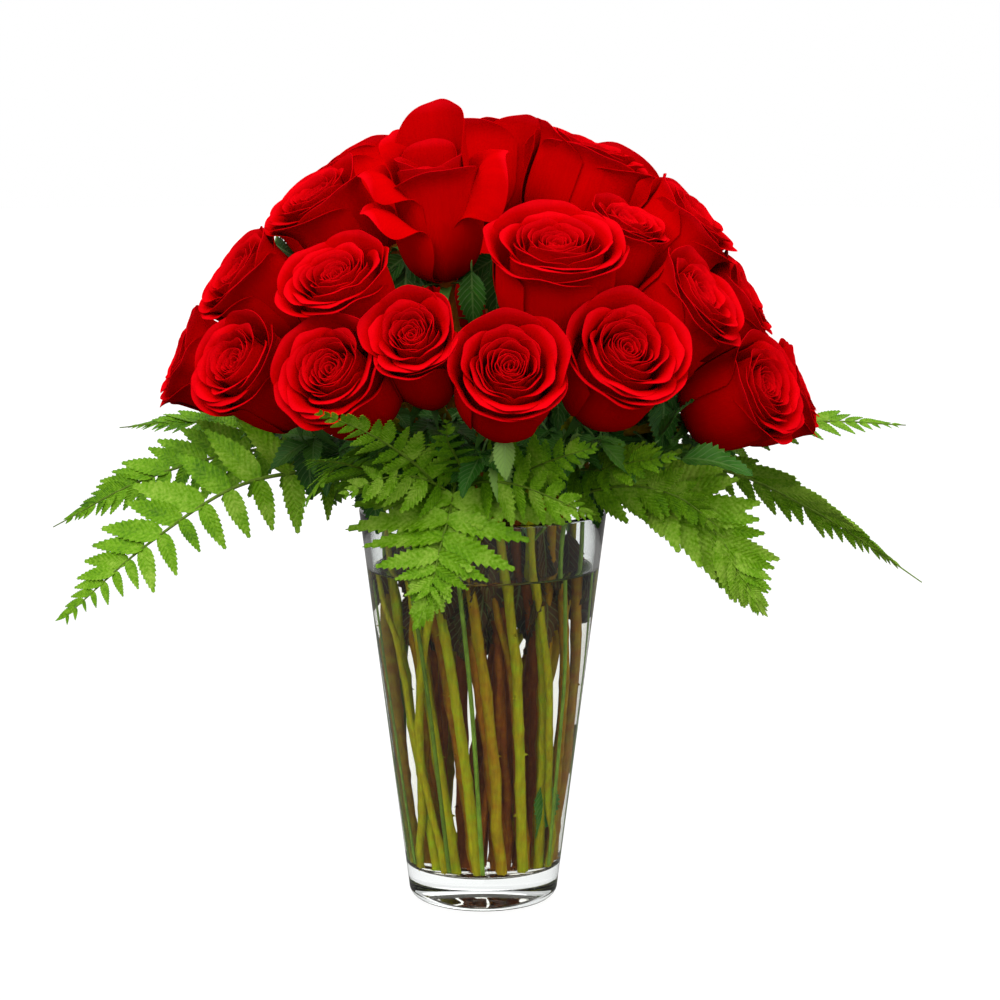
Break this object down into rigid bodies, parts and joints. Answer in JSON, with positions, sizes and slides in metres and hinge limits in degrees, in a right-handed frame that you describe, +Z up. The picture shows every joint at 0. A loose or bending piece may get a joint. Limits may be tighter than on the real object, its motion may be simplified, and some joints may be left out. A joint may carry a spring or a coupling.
{
  "type": "roses in a vase",
  "caption": "Round bouquet of red roses with fern fronds, standing in water in a tapered clear glass vase, to set on a table or shelf.",
  "frame": {"origin": "centre of the vase's foot, on the surface that it stands on", "axes": "+Z up the vase; -Y the front of the bouquet, where the picture was taken from; +X its right-hand side seen from the front"},
  "size_m": [0.4943, 0.4079, 0.4629],
  "materials": {
    "vase_glass": "clear, polished, thick foot",
    "water": "clear liquid",
    "petals": "velvety petals, darker in the folds",
    "rose_stem_and_leaf": "green to brown waxy stem with thorns",
    "fern": "satin green leaflets"
  },
  "bodies": {
    "root": {"vase": "vase_glass", "water": "water", "rose_01_bloom": "petals", "rose_01_stem": "rose_stem_and_leaf", "rose_02_bloom": "petals", "rose_02_stem": "rose_stem_and_leaf", "rose_03_bloom": "petals", "rose_03_stem": "rose_stem_and_leaf", "rose_04_bloom": "petals", "rose_04_stem": "rose_stem_and_leaf", "rose_05_bloom": "petals", "rose_05_stem": "rose_stem_and_leaf", "rose_06_bloom": "petals", "rose_06_stem": "rose_stem_and_leaf", "rose_07_bloom": "petals", "rose_07_stem": "rose_stem_and_leaf", "rose_08_bloom": "petals", "rose_08_stem": "rose_stem_and_leaf", "rose_09_bloom": "petals", "rose_09_stem": "rose_stem_and_leaf", "rose_10_bloom": "petals", "rose_10_stem": "rose_stem_and_leaf", "rose_11_bloom": "petals", "rose_11_stem": "rose_stem_and_leaf", "rose_12_bloom": "petals", "rose_12_stem": "rose_stem_and_leaf", "rose_13_bloom": "petals", "rose_13_stem": "rose_stem_and_leaf", "rose_14_bloom": "petals", "rose_14_stem": "rose_stem_and_leaf", "rose_15_bloom": "petals", "rose_15_stem": "rose_stem_and_leaf", "rose_16_bloom": "petals", "rose_16_stem": "rose_stem_and_leaf", "rose_17_bloom": "petals", "rose_17_stem": "rose_stem_and_leaf", "rose_18_bloom": "petals", "rose_18_stem": "rose_stem_and_leaf", "rose_19_bloom": "petals", "rose_19_stem": "rose_stem_and_leaf", "rose_20_bloom": "petals", "rose_20_stem": "rose_stem_and_leaf", "rose_21_bloom": "petals", "rose_21_stem": "rose_stem_and_leaf", "rose_22_bloom": "petals", "rose_22_stem": "rose_stem_and_leaf", "rose_23_bloom": "petals", "rose_23_stem": "rose_stem_and_leaf", "rose_24_bloom": "petals", "rose_24_stem": "rose_stem_and_leaf", "fern_01": "fern", "fern_02": "fern", "fern_03": "fern", "fern_04": "fern", "fern_05": "fern", "fern_06": "fern", "fern_07": "fern", "fern_08": "fern", "fern_09": "fern", "fern_10": "fern"}
  },
  "joints": []
}
